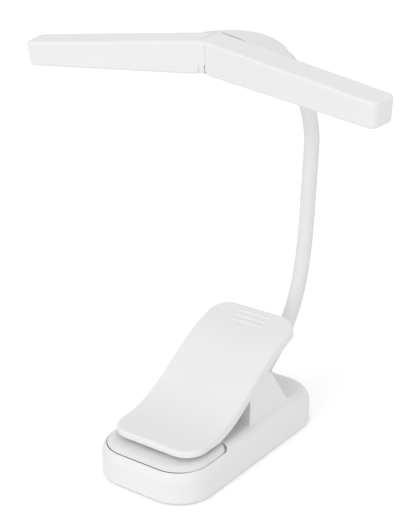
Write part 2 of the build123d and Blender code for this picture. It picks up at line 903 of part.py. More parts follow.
def swing_cut(offset):
    """What the right wing sweeps as it folds, grown by an offset, to clear the hub."""
    rise = wing_root_thickness / 2 - hinge_w
    sweep_tan = math.tan(math.radians(wing_sweep))
    rear = wing_depth / math.cos(math.radians(wing_sweep))
    corner = math.hypot(rise, hinge_offset)
    points = [(0, -20), (0, hub_front + offset), (corner + hub_swing_gap + offset, hub_front + offset)]
    for reach in (16.0, 20.0, 26.0, 34.0, 46.0):
        along = math.sqrt(reach ** 2 - rise ** 2) + hinge_u
        points.append((reach, rear - along * sweep_tan + hub_swing_gap + offset))
    points.append((46.0, -20))
    outline = Polygon(*points, align=None)
    turned = revolve(outline, Axis.Y)
    return Pos(hinge_u, 0, hinge_w) * turned


def hub_form(inset):
    """The pebble-shaped hub, or the same form drawn in by an inset."""
    disc = rod((0, hub_centre, hub_bottom + inset), (0, 0, 1), hub_radius - inset, 24)
    disc = fillet(ring_edges(disc, hub_bottom + inset), hub_rim_round)
    dome = Pos(0, *hub_dome_centre) * scale(Sphere(1), by=tuple(d - inset for d in hub_dome))
    cut = swing_cut(inset) & box(0, 60, -60, 90, -60, 60)
    return (disc & dome) - cut - mirror(cut, about=Plane.YZ)


def hub_shell():
    """The hub's casing with its inside hollowed."""
    shell = hub_form(0) - hub_form(hub_wall)
    return shell - hub_socket_bar(hub_socket_radius, -6, hub_socket_length)


def hub_socket_bar(radius, back, ahead):
    """A bar on the neck's axis where it enters the hub, in the head's frame."""
    point, heading = neck_station("hub")
    bar = rod(tuple(point + heading * back), tuple(heading), radius, ahead - back)
    return head.location.inverse() * bar


def hub_bosses(low, high):
    """The two screw columns between heights low and high."""
    u, v = hub_boss
    columns = rod((u, v, low), (0, 0, 1), hub_boss_radius, high - low)
    return columns + rod((-u, v, low), (0, 0, 1), hub_boss_radius, high - low)


def hub_screw_bar(side, radius, low, high):
    return rod((side * hub_boss[0], hub_boss[1], low), (0, 0, 1), radius, high - low)


def hub_upper_shell():
    """The domed upper half of the hub with the spine between the wings."""
    shell = hub_shell() + (hub_bosses(hub_parting, 12) & hub_form(0.5))
    shell = shell & box(-60, 60, -60, 90, hub_parting, 60)
    for side in (-1, 1):
        shell = shell - hub_screw_bar(side, screw_radius, -20, hub_bottom + screw_head_height + hub_screw_length)
    return shell


def centre_spine():
    """The narrow rib that shows between the two wings."""
    half = wing_root_thickness / 2
    rib = box(-spine_width / 2, spine_width / 2, spine_recess, hub_front + 2, -half + 0.5, half - 0.5)
    front = [e for e in rib.edges() if abs(e.center().Y - spine_recess) < 1e-3]
    rib = fillet(front, 0.5)
    tongue = box(-spine_width / 2, spine_width / 2, hub_front, hub_front + 3.5, -half + 0.5, hub_parting - 0.5)
    return rib & box(-5, 5, -5, hub_front, -20, 20) + tongue


def hub_lower_shell():
    """The lower half of the hub, with the seats of the hinge pins."""
    shell = hub_shell() + (hub_bosses(hub_bottom, hub_parting) & hub_form(0.5))
    for side in (-1, 1):
        seat = hinge_rod(side, hinge_boss_radius, hub_front + 0.2, hub_front + hinge_pin_grip)
        shell = shell + seat
    shell = shell & box(-60, 60, -60, 90, -60, hub_parting)
    for side in (-1, 1):
        shell = shell - hinge_rod(side, hinge_pin_radius, 0, hub_front + hinge_pin_grip + 1)
        shell = shell - hub_screw_bar(side, screw_radius, -20, 20)
        shell = shell - hub_screw_bar(side, screw_head_radius, -20, hub_bottom + screw_head_height)
    slot = box(-spine_width / 2, spine_width / 2, hub_front - 1, hub_front + 3.5, -20, 20)
    return shell - slot


def hub_screws():
    """Two screws that join the halves of the hub."""
    screws = []
    for side in (-1, 1):
        head_part = hub_screw_bar(side, screw_head_radius, hub_bottom, hub_bottom + screw_head_height)
        screws.append(head_part + hub_screw_bar(side, screw_radius, hub_bottom,
                                                hub_bottom + hub_screw_length))
    return Compound(children=screws)


def hinge_pins():
    """The two steel pins that the wings fold on."""
    pins = [hinge_rod(side, hinge_pin_radius, hinge_pin_front, hub_front + hinge_pin_grip) for side in (-1, 1)]
    return Compound(children=pins)


def friction_washers():
    """The washers that hold the wings where they are put."""
    washers = []
    for side in (-1, 1):
        ring = hinge_rod(side, hinge_boss_radius, hub_front - washer_thickness + washer_gap, hub_front)
        washers.append(ring - hinge_rod(side, hinge_pin_radius, 0, 40))
    return Compound(children=washers)


def hub_collar():
    """The cupped ferrule in which the neck ends."""
    ferrule = hub_socket_bar(hub_socket_radius, cup_rim, hub_socket_length)
    return ferrule - head.location.inverse() * cup("hub")


def build():
    """Every node of the light, by name."""
    left = Plane.YZ
    housing = in_head(wing_housing())
    lens = in_head(wing_lens())
    board = in_head(wing_light_board())
    leds = in_head(wing_leds())
    return {
        "base_shell": base_shell(),
        "base_cover": base_cover(),
        "base_pad": base_pad(),
        "base_screws": base_screws(),
        "lower_jaw_pad": lower_jaw_pad(),
        "battery_cell": battery_cell(),
        "circuit_board": circuit_board(),
        "usb_c_socket": usb_c_socket(),
        "button_switches": button_switches(),
        "charge_light_pipe": light_pipe(0),
        "pivot_pin": pivot_pin(),
        "clip_spring": clip_spring(),
        "clip_lever": clip_lever(),
        "upper_jaw_pad": upper_jaw_pad(),
        "lever_bushes": lever_bushes(),
        "power_button": light_button(button_y[0]),
        "colour_button": light_button(button_y[1]),
        "neck_anchor": neck_anchor(),
        "neck_collar": neck_collar(),
        "neck_lower": neck_lower(),
        "neck_middle": neck_middle(),
        "neck_upper": neck_upper(),
        "hub_collar": in_head(hub_collar()),
        "hub_upper_shell": in_head(hub_upper_shell()),
        "hub_lower_shell": in_head(hub_lower_shell()),
        "hub_screws": in_head(hub_screws()),
        "centre_spine": in_head(centre_spine()),
        "hinge_pins": in_head(hinge_pins()),
        "friction_washers": in_head(friction_washers()),
        "right_wing_housing": housing,
        "right_wing_lens": lens,
        "right_light_board": board,
        "right_leds": leds,
        "left_wing_housing": mirror(housing, about=left),
        "left_wing_lens": mirror(lens, about=left),
        "left_light_board": mirror(board, about=left),
        "left_leds": mirror(leds, about=left),
    }


os.makedirs("parts", exist_ok=True)
for name, shape in build().items():
    export_step(shape, "parts/" + name + ".step")
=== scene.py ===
from math import atan2, ceil, cos, hypot, pi, radians, sin, sqrt

import bpy
from mathutils import Matrix, Vector


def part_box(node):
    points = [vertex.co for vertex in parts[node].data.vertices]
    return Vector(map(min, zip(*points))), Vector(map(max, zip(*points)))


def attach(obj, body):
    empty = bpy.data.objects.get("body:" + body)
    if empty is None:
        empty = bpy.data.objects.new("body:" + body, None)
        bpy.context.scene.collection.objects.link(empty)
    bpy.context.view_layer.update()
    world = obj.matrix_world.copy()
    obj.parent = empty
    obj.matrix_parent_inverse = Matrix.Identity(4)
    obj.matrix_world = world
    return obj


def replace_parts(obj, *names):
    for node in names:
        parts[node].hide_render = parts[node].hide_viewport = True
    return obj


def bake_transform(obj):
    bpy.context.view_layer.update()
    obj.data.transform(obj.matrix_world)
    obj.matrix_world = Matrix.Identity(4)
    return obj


bl_info = {
    "name": "Clip-on Reading Light",
    "version": (1, 0, 0),
    "blender": (4, 5, 0),
    "location": "3D View > Sidebar > Reading Light",
    "description": "Finishes, soft parts and studio for a clip-on rechargeable reading light",
    "category": "Object",
}

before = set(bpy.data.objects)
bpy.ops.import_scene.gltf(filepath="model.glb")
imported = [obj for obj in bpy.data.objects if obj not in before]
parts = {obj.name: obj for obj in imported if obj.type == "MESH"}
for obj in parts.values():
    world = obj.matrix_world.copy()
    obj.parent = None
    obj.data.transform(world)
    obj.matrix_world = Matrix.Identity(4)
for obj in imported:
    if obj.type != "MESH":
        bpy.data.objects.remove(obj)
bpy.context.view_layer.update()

# The gooseneck's centre line in the plane of symmetry, as part.py has it:
# straight runs by length, and bends by radius and angle, in millimetres.
NECK_START = (42.0, 18.0)
NECK_START_ANGLE = 36.0
NECK_RUNS = (
    ("run", 15.1),
    ("bend", 60.0, 39.0),
    ("bend", 150.0, 11.0),
    ("run", 35.5),
    ("bend", 42.0, 26.0),
    ("run", 6.2),
    ("bend", 57.5, 46.0),
)

# The lever's axis in Y and Z.
PIVOT = (11.5, 28.0)

# The head's frame: its origin in Y and Z, and how far its front is tipped down, in degrees.
HEAD = (-5.9, 186.2)
HEAD_PITCH = 5.3

# The base's corners and the rounding of its rim.
BASE_CORNER = 17.4
BASE_RIM = 6.6

# The lower pad: how far in from the base's sides it lies, its groove and its rear corners.
PAD_INSET = 2.4
PAD_GROOVE = 0.45
PAD_CORNER = 6.0

# The roughness of the moulded white plastic.
SATIN = 0.46

# Points closer than this, in metres, are the same.
SAME = 1e-6

# How much of a face's normal lies along an axis when the face looks that way.
FACING = 0.9


def mm(*values):
    """Millimetres as metres, one number or a point."""
    if len(values) == 1:
        return values[0] / 1000
    return Vector([v / 1000 for v in values])


# Hand modelling


def start_fresh():
    """Leaves object mode ready for a new primitive, with nothing selected."""
    if bpy.context.object is not None and bpy.context.object.mode != "OBJECT":
        bpy.ops.object.mode_set(mode="OBJECT")
    bpy.ops.object.select_all(action="DESELECT")


def take(piece):
    """Leaves object mode with one piece selected and active."""
    start_fresh()
    piece.select_set(True)
    bpy.context.view_layer.objects.active = piece


def name_new(name):
    """Names the primitive that was added last."""
    piece = bpy.context.object
    piece.name = name
    return piece


def put_in_scene(thing):
    bpy.context.scene.collection.objects.link(thing)


def put_in_mesh(piece):
    """Moves a piece's place, turn and size into its mesh."""
    take(piece)
    bpy.ops.object.transform_apply(location=True, rotation=True, scale=True)
    return piece


def block(name, low, high):
    """A cube primitive between two corners in metres, to be shaped further."""
    start_fresh()
    bpy.ops.mesh.primitive_cube_add(size=1, location=(low + high) / 2)
    piece = name_new(name)
    piece.scale = high - low
    return put_in_mesh(piece)


def ring(name, vertices, radius=1, place=(0, 0, 0), turn=(0, 0, 0), fill="NOTHING"):
    """A circle primitive at a place and turn."""
    start_fresh()
    bpy.ops.mesh.primitive_circle_add(
        vertices=vertices, radius=radius, fill_type=fill, location=place, rotation=turn
    )
    return put_in_mesh(name_new(name))


def edit(piece, mode):
    """Opens a piece in edit mode with nothing selected."""
    take(piece)
    bpy.ops.object.mode_set(mode="EDIT")
    bpy.ops.mesh.select_mode(type=mode)
    deselect_mesh()


def select_mesh():
    bpy.ops.mesh.select_all(action="SELECT")


def deselect_mesh():
    bpy.ops.mesh.select_all(action="DESELECT")


def pick(piece, kind, test):
    """Selects the faces, edges or vertices of a piece in edit mode that pass a test."""
    bpy.ops.object.mode_set(mode="OBJECT")
    mesh = piece.data
    items, passes = {
        "face": (mesh.polygons, lambda face: test(face.center, face.normal)),
        "edge": (mesh.edges, lambda edge: test(*(mesh.vertices[i].co for i in edge.vertices))),
        "vertex": (mesh.vertices, lambda vertex: test(vertex.co)),
    }[kind]
    found = 0
    for item in items:
        item.select = bool(passes(item))
        found += item.select
    bpy.ops.object.mode_set(mode="EDIT")
    if not found:
        raise RuntimeError("nothing was picked on " + piece.name)


def extrude(x, y, z):
    """Extrudes the selection by a move in metres."""
    bpy.ops.mesh.extrude_region_move(TRANSFORM_OT_translate={"value": (x, y, z)})


def bevel(affect, offset, segments):
    """Rounds the selected edges or vertices."""
    bpy.ops.mesh.bevel(offset=offset, segments=segments, affect=affect, clamp_overlap=False)


def inset(thickness, depth=0):
    """Insets the selected faces, in millimetres."""
    bpy.ops.mesh.inset(thickness=mm(thickness), depth=mm(depth))


def cap_ends():
    """Closes the open ends of the mesh in edit mode."""
    select_mesh()
    bpy.ops.mesh.fill_holes(sides=0)


def close_edit(piece):
    """Merges doubles, turns the faces outwards and leaves edit mode."""
    select_mesh()
    bpy.ops.mesh.remove_doubles(threshold=SAME)
    bpy.ops.mesh.normals_make_consistent(inside=False)
    bpy.ops.object.mode_set(mode="OBJECT")
    return piece


def finish_with(piece, kind, **settings):
    """Adds a modifier with its settings and applies it."""
    take(piece)
    modifier = piece.modifiers.new(kind.title(), kind)
    for key, value in settings.items():
        setattr(modifier, key, value)
    bpy.ops.object.modifier_apply(modifier=modifier.name)
    return piece


def round_edges(piece, width, segments, degrees):
    """Rounds a piece's edges where its surface turns by more than an angle."""
    return finish_with(
        piece, "BEVEL", width=width, segments=segments, limit_method="ANGLE",
        angle_limit=radians(degrees),
    )


def smooth(piece, degrees):
    """Shades a piece smooth, with creases left sharp."""
    take(piece)
    bpy.ops.object.shade_smooth_by_angle(angle=radians(degrees))
    return piece


def dress(piece, material):
    """Gives a piece one material in all of its slots."""
    if not piece.data.materials:
        piece.data.materials.append(material)
    for place in piece.material_slots:
        place.material = material
    return piece


# Material building


class Finish:
    """A node material: a Principled shader with its surface detail in Object coordinates."""

    def __init__(self, name, **values):
        self.material = bpy.data.materials.new(name)
        self.material.use_nodes = True
        self.nodes = self.material.node_tree.nodes
        self.links = self.material.node_tree.links
        self.nodes.clear()
        self.shader = self.new("ShaderNodeBsdfPrincipled", values)
        output = self.nodes.new("ShaderNodeOutputMaterial")
        self.links.new(self.shader.outputs[0], output.inputs[0])
        self.place = self.nodes.new("ShaderNodeTexCoord").outputs["Object"]
        self.height = None

    def new(self, kind, values):
        """A node with the constants of its own sockets set."""
        node = self.nodes.new(kind)
        for key, value in values.items():
            node.inputs[key.replace("_", " ")].default_value = value
        return node

    def add(self, kind, source, socket, **values):
        """A new node that is fed by a source at one of its sockets."""
        node = self.new(kind, values)
        self.links.new(source, node.inputs[socket])
        return node

    def stretched(self, scale, turn):
        """The Object coordinates scaled and turned."""
        node = self.add("ShaderNodeMapping", self.place, "Vector", Scale=scale, Rotation=turn)
        return node.outputs[0]

    def along(self, axis):
        """The distance along one of the object's axes, in metres."""
        return self.add("ShaderNodeSeparateXYZ", self.place, "Vector").outputs[axis]

    def noise(self, scale, detail=2.0, rough=0.5, vector=None):
        """A cloudy pattern, with a scale in features per metre."""
        node = self.add(
            "ShaderNodeTexNoise", self.place if vector is None else vector, "Vector",
            Scale=scale, Detail=detail, Roughness=rough,
        )
        return node.outputs["Fac"]

    def cells(self, scale):
        """A pattern of round cells, with a scale in cells per metre."""
        node = self.add("ShaderNodeTexVoronoi", self.place, "Vector", Scale=scale)
        return node.outputs["Distance"]

    def wave(self, scale, direction):
        """Even bands across one axis."""
        node = self.add("ShaderNodeTexWave", self.place, "Vector", Scale=scale)
        node.bands_direction = direction
        return node.outputs["Fac"]

    def spread(self, value, low, high, start=0.3, end=0.7):
        """Maps a pattern from its usual range to a range of values."""
        node = self.add(
            "ShaderNodeMapRange", value, "Value",
            From_Min=start, From_Max=end, To_Min=low, To_Max=high,
        )
        return node.outputs[0]

    def tint(self, value, colour, low, high, start=0.3, end=0.7):
        """The colour made a little darker or lighter along a pattern."""
        node = self.add("ShaderNodeValToRGB", value, "Fac")
        stops = zip(node.color_ramp.elements, (start, end), (low, high))
        for stop, position, share in stops:
            stop.position = position
            stop.color = [min(c * share, 1) for c in colour[:3]] + [1]
        self.links.new(node.outputs[0], self.shader.inputs["Base Color"])

    def rough(self, value, low, high, start=0.3, end=0.7):
        """The roughness varied along a pattern."""
        self.links.new(self.spread(value, low, high, start, end), self.shader.inputs["Roughness"])

    def bump(self, value, strength, depth):
        """Adds a layer of relief on those there already, with its depth in metres."""
        node = self.add("ShaderNodeBump", value, "Height", Strength=strength, Distance=depth)
        if self.height is not None:
            self.links.new(self.height, node.inputs["Normal"])
        self.height = node.outputs[0]
        self.links.new(self.height, self.shader.inputs["Normal"])


def moulded_plastic(name, colour, grain, roughness):
    """Satin moulded plastic: a fine spark-eroded grain, faint flow marks and a soft sheen."""
    finish = Finish(name, IOR=1.5)
    flow = finish.noise(scale=38)
    fine = finish.noise(scale=1 / grain, detail=2.5, rough=0.6)
    finish.tint(flow, colour, low=0.985, high=1.0)
    finish.rough(fine, low=roughness - 0.05, high=roughness + 0.05)
    finish.bump(fine, strength=0.35, depth=grain * 0.02)
    finish.bump(flow, strength=0.25, depth=mm(0.04))
    return finish.material


def frosted_diffuser(name, colour):
    """Milky diffuser plastic with a very fine prismatic frost."""
    finish = Finish(name, IOR=1.49, Subsurface_Weight=0.15, Subsurface_Scale=0.002)
    frost = finish.cells(scale=2400)
    finish.tint(finish.noise(scale=90), colour, low=0.975, high=1.0)
    finish.rough(frost, low=0.42, high=0.55, start=0.0, end=0.6)
    finish.bump(frost, strength=0.3, depth=mm(0.02))
    return finish.material


def silicone(name, colour, grain, roughness=0.62):
    """Soft-touch silicone: matt, finely pebbled and slightly cloudy."""
    finish = Finish(name, IOR=1.42, Subsurface_Weight=0.05, Subsurface_Scale=0.001)
    cloud = finish.noise(scale=120, detail=3.0)
    finish.tint(cloud, colour, low=0.97, high=1.0)
    finish.rough(cloud, low=roughness - 0.05, high=roughness + 0.05)
    finish.bump(finish.cells(scale=1 / grain), strength=0.35, depth=grain * 0.05)
    return finish.material


def seam_painted_shade(name, colour):
    """Painted shade in the pad's seam: a dark ring, darkest across the front and paler towards the
    rear, standing in for the groove's shadow.
    """
    finish = Finish(name, IOR=1.45)
    # Painted shade: darkest across the front, fading paler towards the rear as the seam's shadow
    # does.
    shade_fade = finish.spread(finish.along("Y"), low=0, high=1, start=mm(-51.5), end=mm(-45.0))
    finish.tint(shade_fade, colour, low=0.09, high=1.0, start=0.0, end=1.0)
    skin = finish.noise(scale=1500)
    finish.rough(skin, low=0.6, high=0.75)
    finish.bump(skin, strength=0.3, depth=mm(0.02))
    return finish.material


def brushed_steel(name, colour, turn):
    """Drawn or turned steel: fine lines along one direction, with small dull patches."""
    finish = Finish(name, Metallic=1.0)
    drawn = finish.stretched(scale=(0.03, 1, 1), turn=turn)
    lines = finish.noise(scale=900, detail=3.0, rough=0.6, vector=drawn)
    finish.tint(lines, colour, low=0.86, high=1.0)
    finish.rough(finish.noise(scale=300), low=0.26, high=0.38)
    finish.bump(lines, strength=0.25, depth=mm(0.01))
    return finish.material


def cell_foil(name, colour):
    """The pouch cell's dull aluminium foil, slightly crinkled."""
    finish = Finish(name, Metallic=0.85)
    crinkle = finish.noise(scale=160, detail=4.0, rough=0.65)
    finish.tint(crinkle, colour, low=0.88, high=1.0)
    finish.rough(crinkle, low=0.36, high=0.52)
    finish.bump(crinkle, strength=0.5, depth=mm(0.12))
    return finish.material


def solder_mask(name, colour, speck):
    """Lacquered board: a woven glass ground under the solder mask, with small pads."""
    finish = Finish(name, IOR=1.5, Coat_Weight=0.3, Coat_Roughness=0.2)
    pads = finish.cells(scale=420)
    finish.tint(pads, colour, low=speck, high=1.0, start=0.08, end=0.14)
    finish.rough(pads, low=0.3, high=0.42, start=0.1, end=0.5)
    for direction in "XY":
        finish.bump(finish.wave(scale=900, direction=direction), strength=0.15, depth=mm(0.01))
    return finish.material


def black_nylon(name, colour):
    """Glass-filled black nylon of the switch bodies."""
    finish = Finish(name, IOR=1.53)
    fibre = finish.noise(scale=2200, rough=0.6)
    finish.tint(fibre, colour, low=0.7, high=1.3)
    finish.rough(fibre, low=0.4, high=0.55)
    finish.bump(fibre, strength=0.3, depth=mm(0.01))
    return finish.material


def clear_acrylic(name, colour):
    """Clear light pipe with a lightly frosted end."""
    finish = Finish(name, IOR=1.49, Transmission_Weight=0.85)
    frost = finish.noise(scale=2500)
    finish.tint(frost, colour, low=0.97, high=1.0)
    finish.rough(frost, low=0.05, high=0.15)
    finish.bump(frost, strength=0.15, depth=mm(0.008))
    return finish.material


def phosphor(name, colour):
    """Yellow phosphor in the lamps' windows."""
    finish = Finish(name, IOR=1.45, Coat_Weight=0.4, Coat_Roughness=0.15)
    grains = finish.noise(scale=5000, detail=3.0, rough=0.7)
    finish.tint(grains, colour, low=0.88, high=1.0)
    finish.rough(grains, low=0.3, high=0.45)
    finish.bump(grains, strength=0.2, depth=mm(0.01))
    return finish.material


# Settings


def colour_property(name, description, default):
    return bpy.props.FloatVectorProperty(
        name=name, description=description, default=default, min=0, max=1, size=3, subtype="COLOR"
    )


def number_property(name, description, default, **more):
    return bpy.props.FloatProperty(name=name, description=description, default=default, **more)


def size_property(name, description, millimetres):
    return number_property(name, description, mm(millimetres), min=0, unit="LENGTH", precision=5)


def angle_property(name, description, degrees):
    return number_property(name, description, radians(degrees), unit="ROTATION")


class ReadingLightColours(bpy.types.PropertyGroup):
    """The colours of the light's plastics, silicones, metals and boards."""

    housing: colour_property("Housing", "Shells, lever, wings and buttons", (0.84, 0.84, 0.84))
    diffuser: colour_property("Diffuser", "Lenses under the wings", (0.86, 0.86, 0.85))
    pads: colour_property("Pads", "Silicone of the jaw pads and the foot", (0.82, 0.82, 0.82))
    neck: colour_property("Neck", "Silicone sleeve of the gooseneck", (0.8, 0.8, 0.8))
    steel: colour_property("Steel", "Pin, spring, screws and inlet", (0.6, 0.61, 0.63))
    foil: colour_property("Cell", "Foil of the battery cell", (0.7, 0.71, 0.73))
    board: colour_property("Board", "Solder mask of the main board", (0.03, 0.2, 0.07))
    lamp_board: colour_property("Lamp boards", "Boards in the wings", (0.82, 0.82, 0.8))
    switch: colour_property("Switches", "Switch bodies on the board", (0.02, 0.02, 0.021))
    pipe: colour_property("Light pipe", "Clear pin beside the inlet", (0.92, 0.94, 0.93))
    lamps: colour_property("Lamps", "Phosphor of the lamps", (0.85, 0.66, 0.12))
    # Painted shade: the palest colour of the dark ring in the pad's seam.
    painted_seam_shade: colour_property("Painted seam shade", "The pad's seam where it is palest", (0.5, 0.5, 0.5))
    bush: colour_property("Bushes", "Plain bushes of the lever", (0.36, 0.36, 0.36))


class ReadingLightSizes(bpy.types.PropertyGroup):
    """The sizes of the soft and wound pieces."""

    neck_radius: size_property("Neck radius", "Outer radius of the gooseneck's sleeve", 3.82)
    neck_step: size_property("Neck step", "Distance between the rings of the sleeve's mesh", 1.6)
    wire: size_property("Spring wire", "Diameter of the spring's wire", 1.2)
    coil_radius: size_property("Coil radius", "Radius of the spring's centre line", 3.4)
    coil_pitch: size_property("Coil pitch", "Distance between the spring's turns", 1.7)
    pad_round: size_property("Pad edge", "Rounding of the pads' edges", 0.35)
    rib_pitch: size_property("Rib pitch", "Distance between the jaw pads' ribs", 2.6)
    grain: size_property("Grain", "Size of the housing's moulded grain", 0.35)


class ReadingLightStudio(bpy.types.PropertyGroup):
    """The floor, the lamps and the camera."""

    floor: colour_property("Floor", "Colour of the floor", (0.9, 0.9, 0.9))
    key: number_property("Key", "Strength of the lamps", 1.0, min=0)
    fill: number_property("Fill", "Strength of the world", 0.74, min=0)
    lens: number_property("Lens", "Focal length in millimetres", 88.136, min=1)
    camera: bpy.props.FloatVectorProperty(
        name="Camera", description="Where the camera stands", size=3, unit="LENGTH",
        default=mm(316.4, -435.2, 311.6),
    )
    azimuth: angle_property("Azimuth", "Camera's turn to the object's right", 36.0)
    elevation: angle_property("Elevation", "Camera's height over the horizon", 22.3)


def colours():
    return bpy.context.scene.reading_light_colours


def sizes():
    return bpy.context.scene.reading_light_sizes


def studio():
    return bpy.context.scene.reading_light_studio


def finish_nodes(names, material):
    """Gives carried-over parts a finish."""
    for name in names:
        dress(parts[name], material)


# Operators


class READINGLIGHT_OT_housings(bpy.types.Operator):
    """Moulded white plastic for the shells, lever, hub, wings and buttons"""

    bl_idname = "reading_light.housings"
    bl_label = "Housings"

    def execute(self, context):
        plastic = moulded_plastic("moulded_white", colours().housing, sizes().grain, SATIN)
        finish_nodes(
            [
                "base_shell", "base_cover", "clip_lever", "power_button", "colour_button",
                "hub_upper_shell", "hub_lower_shell", "centre_spine",
                "right_wing_housing", "left_wing_housing",
            ],
            plastic,
        )
        bush = moulded_plastic("plain_bush", colours().bush, grain=mm(0.25), roughness=0.5)
        finish_nodes(["lever_bushes"], bush)
        return {"FINISHED"}


class READINGLIGHT_OT_diffusers(bpy.types.Operator):
    """Frosted diffusers under the wings"""

    bl_idname = "reading_light.diffusers"
    bl_label = "Diffusers"

    def execute(self, context):
        frosted = frosted_diffuser("frosted_diffuser", colours().diffuser)
        finish_nodes(["right_wing_lens", "left_wing_lens"], frosted)
        return {"FINISHED"}


class READINGLIGHT_OT_metal_parts(bpy.types.Operator):
    """Steel for the pins, screws, washers, inlet and the neck's anchor"""

    bl_idname = "reading_light.metal_parts"
    bl_label = "Metal parts"

    def execute(self, context):
        across = brushed_steel("steel_across", colours().steel, turn=(0, 0, 0))
        along = brushed_steel("steel_along", colours().steel, turn=(0, 0, pi / 2))
        upright = brushed_steel("steel_upright", colours().steel, turn=(0, pi / 2, 0))
        finish_nodes(["pivot_pin"], across)
        finish_nodes(
            ["hinge_pins", "usb_c_socket", "neck_anchor", "friction_washers"], along
        )
        finish_nodes(["base_screws", "hub_screws"], upright)
        return {"FINISHED"}


class READINGLIGHT_OT_electronics(bpy.types.Operator):
    """Finishes for the cell, the boards, the switches, the lamps and the light pipe"""

    bl_idname = "reading_light.electronics"
    bl_label = "Electronics"

    def execute(self, context):
        paint = colours()
        foil = cell_foil("cell_foil", paint.foil)
        finish_nodes(["battery_cell"], foil)
        green = solder_mask("green_board", paint.board, speck=2.2)
        finish_nodes(["circuit_board"], green)
        white = solder_mask("white_board", paint.lamp_board, speck=0.9)
        finish_nodes(["right_light_board", "left_light_board"], white)
        nylon = black_nylon("switch_nylon", paint.switch)
        finish_nodes(["button_switches"], nylon)
        clear = clear_acrylic("clear_pipe", paint.pipe)
        finish_nodes(["charge_light_pipe"], clear)
        yellow = phosphor("lamp_phosphor", paint.lamps)
        finish_nodes(["right_leds", "left_leds"], yellow)
        return {"FINISHED"}


def run_length(run):
    """The length of one run or bend along the neck's centre line, in metres."""
    return mm(run[1]) if run[0] == "run" else mm(run[1]) * radians(run[2])


def neck_place(distance):
    """The point and heading angle of the neck's centre line at a distance along it.

    It goes on straight before its start and past its end.
    """
    y, z, heading = mm(NECK_START[0]), mm(NECK_START[1]), radians(NECK_START_ANGLE)
    left = distance
    for run in NECK_RUNS:
        part = min(left, run_length(run))
        if run[0] == "run":
            y += cos(heading) * part
            z += sin(heading) * part
        else:
            radius = mm(run[1])
            centre = (y - sin(heading) * radius, z + cos(heading) * radius)
            heading += part / radius
            y = centre[0] + sin(heading) * radius
            z = centre[1] - cos(heading) * radius
        left -= part
        if left <= 0:
            break
    return Vector((0, y + cos(heading) * left, z + sin(heading) * left)), heading


def neck_stops():
    """The distances along the neck at which one run or bend ends and the next starts."""
    stops = [0.0]
    for run in NECK_RUNS:
        stops.append(stops[-1] + run_length(run))
    return stops


def neck_length(name, first, last):
    """A closed length of the sleeve: a ring extruded along the runs and spun round the bends."""
    point, heading = neck_place(first)
    sleeve = ring(name, 48, sizes().neck_radius, point, (heading - pi / 2, 0, 0))
    edit(sleeve, "EDGE")
    select_mesh()
    stops = neck_stops()
    spans = [(-1.0, 0.0, ("run",)), *zip(stops, stops[1:], NECK_RUNS)]
    spans.append((stops[-1], stops[-1] + 1.0, ("run",)))
    for start, end, run in spans:
        low, high = max(start, first), min(end, last)
        if high - low < SAME:
            continue
        steps = max(1, ceil((high - low) / sizes().neck_step))
        point, heading = neck_place(low)
        if run[0] == "run":
            step = (high - low) / steps
            for _ in range(steps):
                extrude(0, cos(heading) * step, sin(heading) * step)
        else:
            arc = mm(run[1])
            centre = point + Vector((0, -sin(heading) * arc, cos(heading) * arc))
            bpy.ops.mesh.spin(
                steps=steps, angle=-(high - low) / arc, center=centre, axis=(1, 0, 0)
            )
    select_mesh()
    bpy.ops.mesh.remove_doubles(threshold=SAME)
    cap_ends()
    close_edit(sleeve)
    return smooth(sleeve, 40)


class READINGLIGHT_OT_neck(bpy.types.Operator):
    """The gooseneck's smooth silicone sleeve, in four lengths"""

    bl_idname = "reading_light.neck"
    bl_label = "Gooseneck sleeve"

    # In millimetres: how far along their runs the root hinge and the side hinge stand, and
    # how far the sleeve goes on into the base and the hub.
    ROOT = 7.5
    SIDE = 10.0
    INTO_BASE = 3.5
    INTO_HUB = 9.0

    def execute(self, context):
        rubber = silicone("neck_silicone", colours().neck, grain=mm(0.18), roughness=0.55)
        # The hinges: on the first run, on the long run, in the middle of the last run, at the hub.
        stops = neck_stops()
        root = mm(self.ROOT)
        side = stops[3] + mm(self.SIDE)
        shoulder = (stops[5] + stops[6]) / 2
        hub = stops[-1]
        joins = [
            mm(-self.INTO_BASE), (root + side) / 2, (side + shoulder) / 2,
            (shoulder + hub) / 2, hub + mm(self.INTO_HUB),
        ]
        # Each length's name and bodies, where its bend starts and ends, and what it replaces.
        lengths = (
            ("sleeve_root", "base", "neck_low", mm(2.8), mm(24), "neck_lower"),
            ("sleeve_middle", "neck_low", "neck_mid", side - mm(21), side + mm(21), "neck_middle"),
            (
                "sleeve_shoulder", "neck_mid", "neck_top",
                shoulder - mm(19), shoulder + mm(19), "neck_upper",
            ),
            ("sleeve_head", "neck_top", "hub", hub - mm(18), hub + mm(1.5), None),
        )
        for i, (name, below, above, start, end, node) in enumerate(lengths):
            sleeve = neck_length(name, joins[i], joins[i + 1])
            dress(sleeve, rubber)
            neck_place(start)[0]
            neck_place(end)[0]
            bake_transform(sleeve)
            if node is not None:
                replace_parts(sleeve, node)
        return {"FINISHED"}


